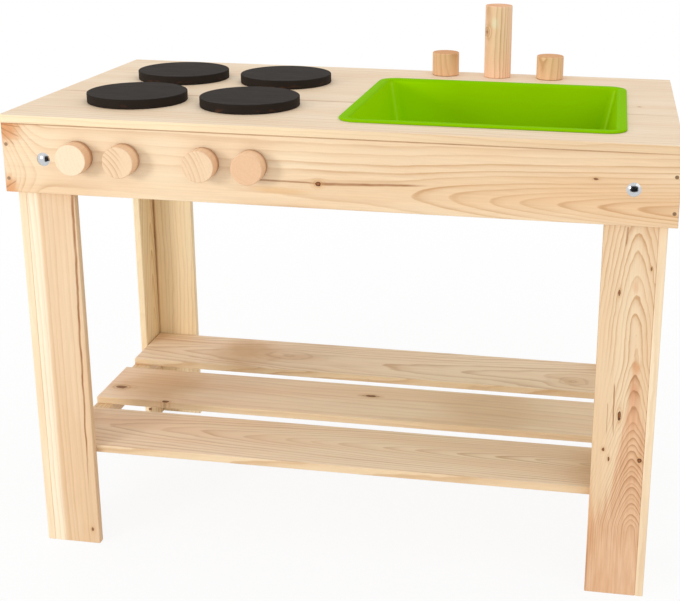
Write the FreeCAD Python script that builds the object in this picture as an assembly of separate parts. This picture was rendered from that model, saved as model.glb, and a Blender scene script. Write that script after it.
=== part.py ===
"""A child's mud kitchen: a pine table with a sink tub, a dowel tap, hob discs, knobs and a slatted shelf."""
import FreeCAD
import Part
import math
import os

os.makedirs("parts", exist_ok=True)
V = FreeCAD.Vector
X_AXIS = V(1, 0, 0)
Y_AXIS = V(0, 1, 0)
Z_AXIS = V(0, 0, 1)

# Driving sizes, in millimetres
top_length = 800.0
top_depth = 420.0
top_height = 575.0
board = 10.0
apron_height = 85.0
top_overhang = 1.0
leg_board_width = 62.0
joint_from_front = 162.0

shelf_height = 138.0
slat_count = 3
slat_gap = 31.0
rail_width = 25.0
rail_height = 20.0

dowel_diameter = 38.0
spout_height = 102.0
handle_height = 32.5
tap_from_back = 27.0
tap_spacing = 75.0
tap_left_of_sink_middle = 13.5

disc_diameter = 124.0
disc_thickness = 12.0
disc_from_left = 125.0
disc_from_front = 119.0
disc_column_spacing = 147.0
disc_row_spacing = 167.0

rim_from_disc = 64.0
rim_from_right = 62.0
rim_from_front = 43.0
rim_from_tap = 40.0
rim_width = 13.0
rim_thickness = 3.0
rim_corner = 24.0
tub_depth = 100.0
tub_wall = 2.5
tub_taper = 20.0
tub_corner = 10.0
tub_floor_bend = 6.0
bowl_lip_bend = 4.5

knob_length = 22.0
knob_from_apron_top = 36.5
knob_pair_spacing = 58.0
knob_group_spacing = 155.0

bolt_diameter = 6.0
bolt_head_diameter = 16.5
bolt_head_height = 3.3
nut_across_flats = 10.0
nut_thickness = 5.0
bolt_spare = 4.0
bolt_washer_diameter = 18.0
washer_thickness = 1.6

nail_diameter = 2.5
nail_head_diameter = 4.5
nail_head_thickness = 0.8
nail_length = 35.0
nail_from_apron_low = 17.0
nail_from_apron_top = 26.0

screw_diameter = 4.0
screw_head_diameter = 7.5
screw_head_height = 2.6
screw_tip_cover = 4.0
leg_screw_bite = 25.0
rail_screw_bite = 15.0
leg_screw_count = 3
leg_screw_from_floor = 60.0
leg_screw_from_apron = 45.0
apron_screw_inset = 22.0
rail_screw_inset = 15.0
slat_screw_inset = 29.0
pivot_diameter = 5.0
pivot_head_diameter = 9.0
pivot_head_height = 3.0
pivot_tip_cover = 6.0
pivot_washer_diameter = 12.0

# Clearances and edge easing
shank_clearance = 0.05
pivot_clearance = 0.05
turn_gap = 0.3
bolt_clearance = 0.3
slat_clearance = 1.0
cutout_clearance = 2.0
knob_leg_clearance = 7.0
drill_spare = 1.0
board_ease = 1.2
joint_ease = 0.4
dowel_ease = 1.5
disc_ease = 1.0
rim_ease = 1.3
pivot_head_ease = 1.0

# Derived levels, planes and lengths
top_underside = top_height - board
apron_low = top_underside - apron_height
apron_half_length = top_length / 2 - top_overhang
leg_outer = apron_half_length - board
leg_inner_side = leg_outer - board
leg_inner_edge = leg_inner_side - leg_board_width
face_board_centre = (leg_inner_side + leg_inner_edge) / 2
knob_reach = turn_gap + knob_length
depth_front = top_overhang - knob_reach
depth_back = top_depth - top_overhang + bolt_head_height
front_edge = -(depth_front + depth_back) / 2
back_edge = front_edge + top_depth
joint_plane = front_edge + joint_from_front
apron_front = front_edge + top_overhang
apron_back = back_edge - top_overhang
leg_front = apron_front + board
leg_back = apron_back - board
shelf_front = leg_front + board
shelf_back = leg_back - board
slat_underside = shelf_height - board
rail_underside = slat_underside - rail_height
slat_half_length = leg_inner_side - slat_clearance
slat_run = shelf_back - shelf_front - 2 * slat_clearance
slat_width = (slat_run - (slat_count - 1) * slat_gap) / slat_count
rail_centre = leg_inner_side - rail_width / 2
disc_left = -top_length / 2 + disc_from_left
disc_front = front_edge + disc_from_front
rim_left = disc_left + disc_column_spacing + disc_diameter / 2 + rim_from_disc
rim_right = top_length / 2 - rim_from_right
rim_front = front_edge + rim_from_front
tap_row = back_edge - tap_from_back
rim_back = tap_row - dowel_diameter / 2 - rim_from_tap
rim_length = rim_right - rim_left
rim_depth = rim_back - rim_front
rim_centre = V((rim_left + rim_right) / 2, (rim_front + rim_back) / 2, 0)
bowl_length = rim_length - 2 * rim_width
bowl_depth = rim_depth - 2 * rim_width
tap_centre = rim_centre.x - tap_left_of_sink_middle
knob_height = top_underside - knob_from_apron_top
knob_first = -leg_inner_edge + pivot_washer_diameter / 2 + knob_leg_clearance
bolt_height = apron_low + apron_height / 2
nail_place = apron_half_length - board / 2
nail_heights = (apron_low + nail_from_apron_low, top_underside - nail_from_apron_top)
leg_screw_span = apron_low - leg_screw_from_apron - leg_screw_from_floor
leg_screw_step = leg_screw_span / (leg_screw_count - 1)
leg_screw_heights = [leg_screw_from_floor + i * leg_screw_step for i in range(leg_screw_count)]
apron_screw_heights = (apron_low + apron_screw_inset, top_underside - apron_screw_inset)
apron_screw_row = leg_board_width / 2
rail_screw_rows = (board + rail_screw_inset, leg_board_width - rail_screw_inset)
rail_screw_height = slat_underside - rail_height / 2
short_bite = board - screw_tip_cover
leg_screw_length = board + leg_screw_bite
rail_screw_length = board + rail_screw_bite
apron_screw_length = board + short_bite
disc_bite = disc_thickness - screw_tip_cover
disc_screw_length = board + disc_bite
slat_screw_length = rail_height + short_bite
pivot_grip = knob_length - pivot_tip_cover
screw_hole = screw_diameter + 2 * shank_clearance
nail_hole = nail_diameter + 2 * shank_clearance
pivot_hole = pivot_diameter + 2 * pivot_clearance
bolt_hole = bolt_diameter + 2 * bolt_clearance
washer_hole = pivot_diameter + 2 * bolt_clearance


def save(name, shape):
    """Writes one node's shape."""
    shape.exportStep("parts/" + name + ".step")


def box(low, high):
    """A box between two corners."""
    size = high - low
    return Part.makeBox(size.x, size.y, size.z, low)


def eased_board(low, high, ease=board_ease):
    """A board between two corners with every edge rounded over."""
    plain = box(low, high)
    return plain.makeFillet(ease, plain.Edges)


def rod(diameter, start, along, length):
    """A plain cylinder."""
    return Part.makeCylinder(diameter / 2, length, start, along)


def drill(shape, diameter, start, along, length):
    """The shape with one round hole, begun a little outside it."""
    return shape.cut(rod(diameter, start - along * drill_spare, along, length + drill_spare))


def eased_dowel(diameter, start, along, length, ease):
    """A cylinder with both round edges eased."""
    plain = rod(diameter, start, along, length)
    rims = [edge for edge in plain.Edges if isinstance(edge.Curve, Part.Circle)]
    return plain.makeFillet(ease, rims)


def countersunk_screw(start, along, length):
    """A flat-head wood screw whose head lies flush at its start."""
    cone = Part.makeCone(screw_head_diameter / 2, screw_diameter / 2, screw_head_height, start, along)
    shank_start = start + along * screw_head_height
    return cone.fuse(rod(screw_diameter, shank_start, along, length - screw_head_height)).removeSplitter()


def countersink(shape, start, along, length):
    """The shape with the hole of a flat-head screw, seated along the head's cone."""
    cone = Part.makeCone(screw_head_diameter / 2, screw_diameter / 2, screw_head_height, start, along)
    hole = rod(screw_hole, start, along, length)
    return shape.cut(cone).cut(hole)


def pivot_screw(start, along, length):
    """A round-head screw that a knob or a handle turns with; its head begins at the start."""
    head = rod(pivot_head_diameter, start, along, pivot_head_height)
    rims = [edge for edge in head.Edges if edge.BoundBox.Center.sub(start).Length < 0.01]
    head = head.makeFillet(pivot_head_ease, rims)
    return head.fuse(rod(pivot_diameter, start + along * pivot_head_height, along, length)).removeSplitter()


def ring(outer, inner, start, along, thickness):
    """A flat washer."""
    return rod(outer, start, along, thickness).cut(rod(inner, start, along, thickness))


def rounded_rectangle(length, depth, corner, height):
    """A wire of a rounded rectangle about the sink's centre."""
    plain = box(V(-length / 2, -depth / 2, 0), V(length / 2, depth / 2, 10))
    uprights = [edge for edge in plain.Edges if edge.BoundBox.ZLength > 5]
    face = min(plain.makeFillet(corner, uprights).Faces, key=lambda f: f.CenterOfMass.z)
    wire = face.OuterWire.copy()
    wire.translate(rim_centre + V(0, 0, height))
    return wire


def tapered_block(length, depth, corner, taper, high, low):
    """A solid that narrows downward from one rounded rectangle to a smaller one."""
    upper = rounded_rectangle(length, depth, corner, high)
    lower = rounded_rectangle(length - 2 * taper, depth - 2 * taper, corner, low)
    return Part.makeLoft([lower, upper], True, True)


def upright_block(length, depth, corner, low, high):
    """A straight rounded block about the sink's centre."""
    return Part.Face(rounded_rectangle(length, depth, corner, low)).extrude(V(0, 0, high - low))


sides = (("left", -1), ("right", 1))
ends = (("front", 1, leg_front), ("back", -1, leg_back))

# Worktop boards
cutout = upright_block(
    bowl_length + 2 * (tub_wall + cutout_clearance),
    bowl_depth + 2 * (tub_wall + cutout_clearance),
    tub_corner + tub_wall + cutout_clearance,
    top_underside - drill_spare,
    top_height + drill_spare,
)
disc_columns = (disc_left, disc_left + disc_column_spacing)
disc_rows = (disc_front, disc_front + disc_row_spacing)
disc_places = [(x, y) for y in disc_rows for x in disc_columns]
tap_places = [tap_centre + step * tap_spacing for step in (-1, 0, 1)]


def worktop_board(near, far, joint):
    """One worktop board: round edges outside, a tight eased edge at the joint."""
    plain = box(V(-top_length / 2, near, top_underside), V(top_length / 2, far, top_height))
    at_joint = [e for e in plain.Edges if e.BoundBox.YLength < 0.1 and abs(e.BoundBox.YMin - joint) < 0.1]
    along = [e for e in at_joint if e.BoundBox.XLength > 1]
    outer = [e for e in plain.Edges if e.BoundBox.YLength < 0.1 and abs(e.BoundBox.YMin - joint) > 0.1]
    eased = plain.makeFillet(joint_ease, along)
    rounded = plain.makeFillet(board_ease, outer)
    shape = eased.common(rounded).cut(cutout)
    for x, y in disc_places:
        shape = countersink(shape, V(x, y, top_underside), Z_AXIS, board + drill_spare)
    for x in tap_places:
        shape = drill(shape, pivot_hole, V(x, tap_row, top_underside), Z_AXIS, board + drill_spare)
    return shape


save("worktop_front_board", worktop_board(front_edge, joint_plane, joint_plane))
save("worktop_back_board", worktop_board(joint_plane, back_edge, joint_plane))

# Aprons
bolt_places = (-face_board_centre, face_board_centre)
knob_groups = (knob_first, knob_first + knob_group_spacing)
knob_places = [x + step for x in knob_groups for step in (0, knob_pair_spacing)]
for name, inward, outer_face in (("front", 1, apron_front), ("back", -1, apron_back)):
    inner_face = outer_face + inward * board
    low = V(-apron_half_length, min(outer_face, inner_face), apron_low)
    high = V(apron_half_length, max(outer_face, inner_face), top_underside)
    apron = eased_board(low, high)
    for x in bolt_places:
        apron = drill(apron, bolt_hole, V(x, outer_face, bolt_height), Y_AXIS * inward, board + drill_spare)
    for x in (-nail_place, nail_place):
        for z in nail_heights:
            start = V(x, outer_face, z)
            apron = drill(apron, nail_hole, start, Y_AXIS * inward, board + drill_spare)
            apron = drill(apron, nail_head_diameter, start, Y_AXIS * inward, nail_head_thickness)
    if name == "front":
        for x in knob_places:
            start = V(x, outer_face, knob_height)
            apron = drill(apron, pivot_hole, start, Y_AXIS, board + drill_spare)
    save(name + "_apron", apron)

for name, side in sides:
    inner = side * leg_outer
    outer = side * apron_half_length
    low = V(min(inner, outer), leg_front, apron_low)
    high = V(max(inner, outer), leg_back, top_underside)
    apron = eased_board(low, high)
    for end_name, inward, face in ends:
        for z in nail_heights:
            start = V(side * nail_place, face, z)
            apron = drill(apron, nail_hole, start, Y_AXIS * inward, nail_length)
        for z in apron_screw_heights:
            start = V(inner, face + inward * apron_screw_row, z)
            apron = drill(apron, screw_hole, start, X_AXIS * side, short_bite + drill_spare)
    save(name + "_apron", apron)

# Legs: a face board and a side board each
leg_screws = []
apron_screws = []
rail_screws = []
for end_name, inward, face in ends:
    for side_name, side in sides:
        leg_name = end_name + "_" + side_name + "_leg"
        depths = sorted((face, face + inward * board))
        widths = sorted((side * leg_inner_side, side * (leg_inner_side - leg_board_width)))
        face_board = eased_board(V(widths[0], depths[0], 0), V(widths[1], depths[1], top_underside))
        start = V(side * face_board_centre, face, bolt_height)
        face_board = drill(face_board, bolt_hole, start, Y_AXIS * inward, board + drill_spare)
        depths = sorted((face, face + inward * leg_board_width))
        widths = sorted((side * leg_inner_side, side * leg_outer))
        side_board = eased_board(V(widths[0], depths[0], 0), V(widths[1], depths[1], top_underside))
        for z in leg_screw_heights:
            start = V(side * leg_outer, face + inward * board / 2, z)
            side_board = countersink(side_board, start, X_AXIS * -side, board + drill_spare)
            hole = leg_screw_length + drill_spare
            face_board = drill(face_board, screw_hole, start, X_AXIS * -side, hole)
            leg_screws.append(countersunk_screw(start, X_AXIS * -side, leg_screw_length))
        for z in apron_screw_heights:
            start = V(side * leg_inner_side, face + inward * apron_screw_row, z)
            side_board = countersink(side_board, start, X_AXIS * side, board + drill_spare)
            apron_screws.append(countersunk_screw(start, X_AXIS * side, apron_screw_length))
        for row in rail_screw_rows:
            start = V(side * leg_outer, face + inward * row, rail_screw_height)
            side_board = countersink(side_board, start, X_AXIS * -side, board + drill_spare)
            rail_screws.append(countersunk_screw(start, X_AXIS * -side, rail_screw_length))
        save(leg_name + "_face", face_board)
        save(leg_name + "_side", side_board)
save("leg_screws", Part.makeCompound(leg_screws))
save("apron_screws", Part.makeCompound(apron_screws))
save("rail_screws", Part.makeCompound(rail_screws))

# Shelf rails and slats
slat_fronts = [shelf_front + slat_clearance + i * (slat_width + slat_gap) for i in range(slat_count)]
slat_screw_steps = (slat_screw_inset, slat_width - slat_screw_inset)
slat_screw_rows = [y + step for y in slat_fronts for step in slat_screw_steps]
slat_screws = []
for name, side in sides:
    widths = sorted((side * leg_inner_side, side * (leg_inner_side - rail_width)))
    rail = eased_board(V(widths[0], shelf_front, rail_underside), V(widths[1], shelf_back, slat_underside))
    for end_name, inward, face in ends:
        for row in rail_screw_rows:
            start = V(side * leg_inner_side, face + inward * row, rail_screw_height)
            rail = drill(rail, screw_hole, start, X_AXIS * -side, rail_screw_bite + drill_spare)
    for y in slat_screw_rows:
        start = V(side * rail_centre, y, rail_underside)
        rail = countersink(rail, start, Z_AXIS, rail_height + drill_spare)
        slat_screws.append(countersunk_screw(start, Z_AXIS, slat_screw_length))
    save(name + "_shelf_rail", rail)
save("slat_screws", Part.makeCompound(slat_screws))

for name, y in zip(("front", "middle", "back"), slat_fronts):
    low = V(-slat_half_length, y, slat_underside)
    slat = eased_board(low, V(slat_half_length, y + slat_width, shelf_height))
    for side in (-1, 1):
        for step in slat_screw_steps:
            start = V(side * rail_centre, y + step, slat_underside)
            slat = drill(slat, screw_hole, start, Z_AXIS, short_bite + drill_spare)
    save(name + "_shelf_slat", slat)

# Sink tub: a flat rim over a tapered bowl
rim_top = top_height + rim_thickness
bowl_low = top_height - tub_depth
bowl_floor = bowl_low + tub_wall


def edges_at(shape, height):
    """The edges that lie flat at one height."""
    flat = [e for e in shape.Edges if e.BoundBox.ZLength < 0.01]
    return [e for e in flat if abs(e.BoundBox.ZMin - height) < 0.01]


rim = upright_block(rim_length, rim_depth, rim_corner, top_height, rim_top)
rim = rim.makeFillet(rim_ease, edges_at(rim, top_height) + edges_at(rim, rim_top))
outside = tapered_block(
    bowl_length + 2 * tub_wall,
    bowl_depth + 2 * tub_wall,
    tub_corner + tub_wall,
    tub_taper,
    top_height,
    bowl_low,
)
outside = outside.makeFillet(tub_floor_bend + tub_wall, edges_at(outside, bowl_low))
slope = tub_taper / tub_depth
mouth_length = bowl_length + 2 * slope * rim_thickness
mouth_depth = bowl_depth + 2 * slope * rim_thickness
inside = tapered_block(
    mouth_length,
    mouth_depth,
    tub_corner,
    slope * (rim_top - bowl_floor),
    rim_top,
    bowl_floor,
)
mouth = inside.BoundBox
mouth.enlarge(0.01)
inside = inside.makeFillet(tub_floor_bend, edges_at(inside, bowl_floor))
tub = rim.fuse(outside).cut(inside).removeSplitter()
lip = [e for e in edges_at(tub, rim_top) if mouth.isInside(e.BoundBox)]
save("sink_tub", tub.makeFillet(bowl_lip_bend, lip))

# Tap: a tall spout and two handles that turn on their screws
for name, x, height, gap in (
    ("tap_handle_left", tap_places[0], handle_height, turn_gap),
    ("tap_spout", tap_places[1], spout_height, 0.0),
    ("tap_handle_right", tap_places[2], handle_height, turn_gap),
):
    dowel = eased_dowel(dowel_diameter, V(x, tap_row, top_height + gap), Z_AXIS, height, dowel_ease)
    dowel = drill(dowel, pivot_diameter, V(x, tap_row, top_height + gap), Z_AXIS, pivot_grip)
    head_top = top_underside - gap - washer_thickness
    start = V(x, tap_row, head_top - pivot_head_height)
    shank = washer_thickness + gap + board + gap + pivot_grip
    screw = pivot_screw(start, Z_AXIS, shank)
    washer = ring(pivot_washer_diameter, washer_hole, V(x, tap_row, head_top), Z_AXIS, washer_thickness)
    save(name, dowel)
    save(name + "_screw", screw)
    save(name + "_washer", washer)

# Hob discs on screws from below
disc_screws = []
for name, place in zip(("front_left", "front_right", "back_left", "back_right"), disc_places):
    start = V(place[0], place[1], top_height)
    disc = eased_dowel(disc_diameter, start, Z_AXIS, disc_thickness, disc_ease)
    disc = drill(disc, screw_hole, start, Z_AXIS, disc_bite + drill_spare)
    save("hob_disc_" + name, disc)
    disc_screws.append(countersunk_screw(start - Z_AXIS * board, Z_AXIS, disc_screw_length))
save("disc_screws", Part.makeCompound(disc_screws))

# Knobs that turn with their screws in the front apron
for number, x in enumerate(knob_places, 1):
    name = "knob_" + str(number)
    back = V(x, apron_front - turn_gap, knob_height)
    knob = eased_dowel(dowel_diameter, back, Y_AXIS * -1, knob_length, dowel_ease)
    knob = drill(knob, pivot_diameter, back, Y_AXIS * -1, pivot_grip)
    inside_face = V(x, leg_front + turn_gap, knob_height)
    washer = ring(pivot_washer_diameter, washer_hole, inside_face, Y_AXIS, washer_thickness)
    start = inside_face + Y_AXIS * (washer_thickness + pivot_head_height)
    shank = washer_thickness + turn_gap + board + turn_gap + pivot_grip
    save(name, knob)
    save(name + "_screw", pivot_screw(start, Y_AXIS * -1, shank))
    save(name + "_washer", washer)

# Carriage bolts with washers and nuts, and the apron nails
bolts = []
washers = []
nuts = []
nails = []
for inward, outer_face in ((1, apron_front), (-1, apron_back)):
    along = Y_AXIS * inward
    inner_face = outer_face + inward * 2 * board
    for x in bolt_places:
        half = bolt_head_diameter / 2
        dome_radius = (half ** 2 + bolt_head_height ** 2) / (2 * bolt_head_height)
        dome_centre = V(x, outer_face, bolt_height) + along * (dome_radius - bolt_head_height)
        reach = 2 * dome_radius
        dome = Part.makeSphere(dome_radius, dome_centre)
        dome = dome.common(rod(reach, V(x, outer_face, bolt_height), along * -1, reach))
        grip = 2 * board + washer_thickness + nut_thickness + bolt_spare
        shank = rod(bolt_diameter, V(x, outer_face, bolt_height), along, grip)
        bolts.append(dome.fuse(shank).removeSplitter())
        seat = V(x, inner_face, bolt_height)
        washers.append(ring(bolt_washer_diameter, bolt_hole, seat, along, washer_thickness))
        corner = nut_across_flats / math.sqrt(3)
        nut_seat = seat + along * washer_thickness
        points = []
        for step in range(7):
            turn = math.radians(60 * step)
            points.append(nut_seat + V(corner * math.cos(turn), 0, corner * math.sin(turn)))
        nut = Part.Face(Part.makePolygon(points)).extrude(along * nut_thickness)
        nut_hole = bolt_diameter + 2 * shank_clearance
        nuts.append(drill(nut, nut_hole, nut_seat, along, nut_thickness + drill_spare))
    for x in (-nail_place, nail_place):
        for z in nail_heights:
            start = V(x, outer_face, z)
            head = rod(nail_head_diameter - 2 * shank_clearance, start, along, nail_head_thickness)
            nails.append(head.fuse(rod(nail_diameter, start, along, nail_length)).removeSplitter())
save("carriage_bolts", Part.makeCompound(bolts))
save("bolt_washers", Part.makeCompound(washers))
save("bolt_nuts", Part.makeCompound(nuts))
save("apron_nails", Part.makeCompound(nails))
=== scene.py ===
"""Looks of a child's mud kitchen: a pale pine table with a shelf, a lift-out green sink, wooden taps and
knobs, and four black hob discs. Blender's own sizes are in metres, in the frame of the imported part. Wood,
paint and plastic are described in millimetres, from the middle of each piece."""

from dataclasses import dataclass
from math import cos, pi, sin

import bpy
from mathutils import Matrix, Vector


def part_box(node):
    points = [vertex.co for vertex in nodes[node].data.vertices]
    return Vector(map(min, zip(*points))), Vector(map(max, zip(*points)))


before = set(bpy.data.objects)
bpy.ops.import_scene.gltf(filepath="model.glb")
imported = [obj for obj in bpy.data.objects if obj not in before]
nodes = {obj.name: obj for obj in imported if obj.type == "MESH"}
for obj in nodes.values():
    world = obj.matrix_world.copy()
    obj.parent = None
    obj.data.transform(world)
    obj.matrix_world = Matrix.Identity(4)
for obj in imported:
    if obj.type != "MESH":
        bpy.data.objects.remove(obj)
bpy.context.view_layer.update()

MM_PER_METRE = 1000.0
WHITE = (1.0, 1.0, 1.0, 1.0)

# How far each step of a seed moves a noise, along three axes
SEED_SHIFT = (7.31, 3.77, 5.19)

# Camera, in metres, radians and pixels of the picture
IMAGE_WIDTH = 680
SENSOR_WIDTH = 36.0
CAMERA_PLACE = Vector((0.3152, -1.4791, 0.8673))
CAMERA_YAW = -0.1434
CAMERA_PITCH = -0.2782
CAMERA_ROLL = 0.0142
CAMERA_FOCAL = 1177.4
PRINCIPAL_RIGHT = 100.0
PRINCIPAL_UP = 100.0

# Light, in metres and watts
KEY_PLACE = Vector((-2.0, -2.5, 1.1))
KEY_SIZE = 0.75
KEY_POWER = 27.5
FILL_PLACE = Vector((2.2, -1.6, 2.0))
FILL_SIZE = 2.0
FILL_POWER = 6.0
TOP_PLACE = Vector((0.0, 0.1, 2.6))
TOP_SIZE = 1.8
TOP_POWER = 5.0
LIGHT_AIM = Vector((0.0, 0.0, 0.35))
SKY_STRENGTH = 0.84
FLAG_WIDTH = 1.5
FRONT_FLAG_PLACE = (0.42, -0.95, 0.42)
FRONT_FLAG_HEIGHT = 1.2
BACK_FLAG_PLACE = (0.0, 0.95, 0.25)
BACK_FLAG_HEIGHT = 0.7
FLOOR_HALF = 12.0
FLOOR_WHITE_NEAR = 0.9
FLOOR_FADE = (0.55, 1.7)


def linear(value):
    """One part of a screen colour, 0 to 255, as the linear value that a shader takes: the sRGB curve."""
    share = value / 255
    if value <= 10.3:
        return share / 12.92
    return ((share + 0.055) / 1.055) ** 2.4


def colour(red, green, blue):
    """A colour given as it looks on screen."""
    return (linear(red), linear(green), linear(blue), 1.0)


@dataclass
class Blobs:
    """A smooth noise: the size of its blobs in mm along three axes, how many finer layers it has, and its
    own draw, which is added to the seed of the surface."""
    size: tuple
    detail: float
    draw: float = 0.0


class Shade:
    """The node tree of a material or a world, with one short call for each kind of node that is used."""

    def __init__(self, owner):
        owner.use_nodes = True
        self.owner = owner
        self.tree = owner.node_tree
        self.tree.nodes.clear()

    def add(self, kind, inputs=None, **settings):
        node = self.tree.nodes.new(kind)
        for key, value in settings.items():
            setattr(node, key, value)
        for key, value in (inputs or {}).items():
            self.feed(node.inputs[key], value)
        return node

    def feed(self, socket, value):
        if isinstance(value, bpy.types.NodeSocket):
            self.tree.links.new(value, socket)
        else:
            socket.default_value = value

    def math(self, operation, first, second=0.0, third=0.0):
        inputs = {0: first, 1: second, 2: third}
        return self.add("ShaderNodeMath", inputs, operation=operation).outputs[0]

    def plus(self, first, second):
        return self.math("ADD", first, second)

    def minus(self, first, second):
        return self.math("SUBTRACT", first, second)

    def times(self, first, second):
        return self.math("MULTIPLY", first, second)

    def length(self, first, second):
        """The length of a step that goes first one way and second at right angles to it."""
        return self.math("SQRT", self.plus(self.times(first, first), self.times(second, second)))

    def smooth(self, value, start, end):
        """0 up to start, 1 from end on, with a soft step between; end may be below start."""
        inputs = {"Value": value, "From Min": start, "From Max": end}
        node = self.add("ShaderNodeMapRange", inputs, interpolation_type="SMOOTHSTEP")
        return node.outputs["Result"]

    def spread(self, value, low, high):
        """A value from 0 to 1 spread evenly between low and high."""
        inputs = {"Value": value, "To Min": low, "To Max": high}
        return self.add("ShaderNodeMapRange", inputs).outputs["Result"]

    def mix(self, factor, first, second, blend="MIX"):
        """A mix of two colours: the node's sockets 6 and 7 and its output 2 are the ones for colours."""
        inputs = {0: factor, 6: first, 7: second}
        return self.add("ShaderNodeMix", inputs, data_type="RGBA", blend_type=blend).outputs[2]

    def ramp(self, value, stops):
        """A value that follows straight lines between (place, height) stops. New stops start halfway."""
        node = self.add("ShaderNodeValToRGB", {"Fac": value})
        elements = node.color_ramp.elements
        while len(elements) < len(stops):
            elements.new(0.5)
        for element, (place, height) in zip(elements, stops):
            element.position = place
            element.color = (height, height, height, 1.0)
        return node.outputs["Color"]

    def noise(self, place, blobs, seed=0.0):
        """Smooth noise about 0.5."""
        scale = tuple(1.0 / size for size in blobs.size)
        shift = tuple((seed + blobs.draw) * step for step in SEED_SHIFT)
        inputs = {0: place, 1: scale, 2: shift}
        spot = self.add("ShaderNodeVectorMath", inputs, operation="MULTIPLY_ADD").outputs[0]
        inputs = {"Vector": spot, "Scale": 1.0, "Detail": blobs.detail}
        return self.add("ShaderNodeTexNoise", inputs).outputs[0]

    def place_mm(self, middle):
        """The point on the surface, in millimetres from a point of the frame."""
        spot = self.add("ShaderNodeTexCoord").outputs["Object"]
        shift = tuple(-MM_PER_METRE * part for part in middle)
        inputs = {0: spot, 1: (MM_PER_METRE,) * 3, 2: shift}
        return self.add("ShaderNodeVectorMath", inputs, operation="MULTIPLY_ADD").outputs[0]

    def facing(self):
        """The three parts of the direction that the surface faces."""
        return self.split(self.add("ShaderNodeTexCoord").outputs["Normal"])

    def split(self, vector):
        return self.add("ShaderNodeSeparateXYZ", {0: vector}).outputs

    def join(self, x, y, z):
        return self.add("ShaderNodeCombineXYZ", {0: x, 1: y, 2: z}).outputs[0]

    def bump(self, height, strength, distance):
        inputs = {"Height": height, "Strength": strength, "Distance": distance}
        return self.add("ShaderNodeBump", inputs).outputs["Normal"]

    def finish(self, base, roughness, normal, **sockets):
        """The shader itself: sockets holds its other inputs by name, with _ for a space."""
        inputs = {"Base Color": base, "Roughness": roughness, "Normal": normal}
        inputs.update({name.replace("_", " "): value for name, value in sockets.items()})
        shader = self.add("ShaderNodeBsdfPrincipled", inputs)
        self.show(shader)
        return self.owner

    def show(self, shader, output="ShaderNodeOutputMaterial"):
        self.add(output, {"Surface": shader.outputs[0]})


def new_shade(name):
    """A new material, still empty."""
    return Shade(bpy.data.materials.new(name))


# Wood: colours

EARLY_WOOD = colour(241, 215, 179)
WARM_WOOD = colour(236, 203, 163)
LATE_WOOD = colour(198, 148, 98)
HEART_WOOD = colour(214, 150, 106)
HEART_PALE = colour(234, 182, 142)
PALE_WOOD = colour(252, 235, 206)
GREY_PINE = colour(241, 221, 193)
ORANGE_WOOD = colour(218, 148, 92)
RED_WOOD = colour(204, 124, 82)
KNOT_RIM = colour(92, 52, 26)
KNOT_CORE = colour(150, 92, 50)
KNOT_HALO = colour(214, 164, 110)
STREAK_BROWN = colour(150, 94, 46)
END_WOOD = colour(222, 184, 142)

# Wood: noises, with sizes along, across and through the board
SWAY = Blobs((210.0, 46.0, 46.0), 3.0)
UNEVEN_RINGS = Blobs((2.3, 900.0, 900.0), 1.0, 1.0)
PATCHY_RINGS = Blobs((160.0, 22.0, 60.0), 2.0, 2.0)
DRIFT = Blobs((260.0, 34.0, 60.0), 3.0, 4.0)
HEART_EDGE = Blobs((60.0, 7.0, 30.0), 3.0, 5.0)
FIBRE = Blobs((70.0, 1.7, 1.7), 3.0, 6.0)
FINE_FIBRE = Blobs((16.0, 0.5, 0.5), 2.0, 7.0)
RIPPLE = Blobs((18.0, 8.0, 30.0), 2.0, 8.0)
HEART_SMEAR = Blobs((48.0, 5.0, 20.0), 3.0, 9.0)
STREAK_SWAY = Blobs((34.0, 500.0, 500.0), 3.0)
STREAK_UNEVEN = Blobs((22.0, 60.0, 500.0), 2.0, 3.0)
SPOT_DEPTH_MM = 40.0
SPOT_DETAIL = 3.0

# Wood: the first draw of each kind of mark
STREAK_DRAW = 11.0
KNOT_DRAW = 21.0
PATCH_DRAW = 31.0
FADE_DRAW = 41.0

# Wood: soft edges (start, end), shares of a colour, and bumps (strength, depth in metres)
RING_STOPS = ((0.0, 0.0), (0.42, 0.1), (0.72, 0.5), (0.86, 1.0), (0.94, 0.9), (1.0, 0.0))
RING_UNEVENNESS = 0.9
RING_SHARE = (0.45, 1.0)
PATCHY_STEP = (0.22, 0.72)
PATCHY_SHARE = (0.5, 1.0)
DRIFT_STEP = (0.32, 0.7)
PALE_EDGE_SWAY_MM = 3.0
EDGE_STEP = (0.4, 0.9)
EDGE_LEFT_TO_RIGHT_MM = (-300.0, 300.0)
END_STEP = (0.55, 0.9)
END_SHARE = 0.55
END_ROUGHNESS = 0.15
HEART_RAGGED_MM = 45.0
HEART_SOFT_MM = 20.0
HEART_SMEAR_STEP = (0.3, 0.7)
HEART_COLOUR_SHARE = 0.55
HEART_LINE_SHARE = 0.75
FIBRE_TONE = (0.90, 1.08)
FINE_FIBRE_TONE = (0.95, 1.05)
WOOD_ROUGHNESS = (0.5, 0.68)
RING_HEIGHT = 0.5
FINE_FIBRE_HEIGHT = 0.6
WOOD_BUMP = (0.22, 0.0006)
WOOD_GLOSS = 0.3
SIZE_DIGITS = 4

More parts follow.
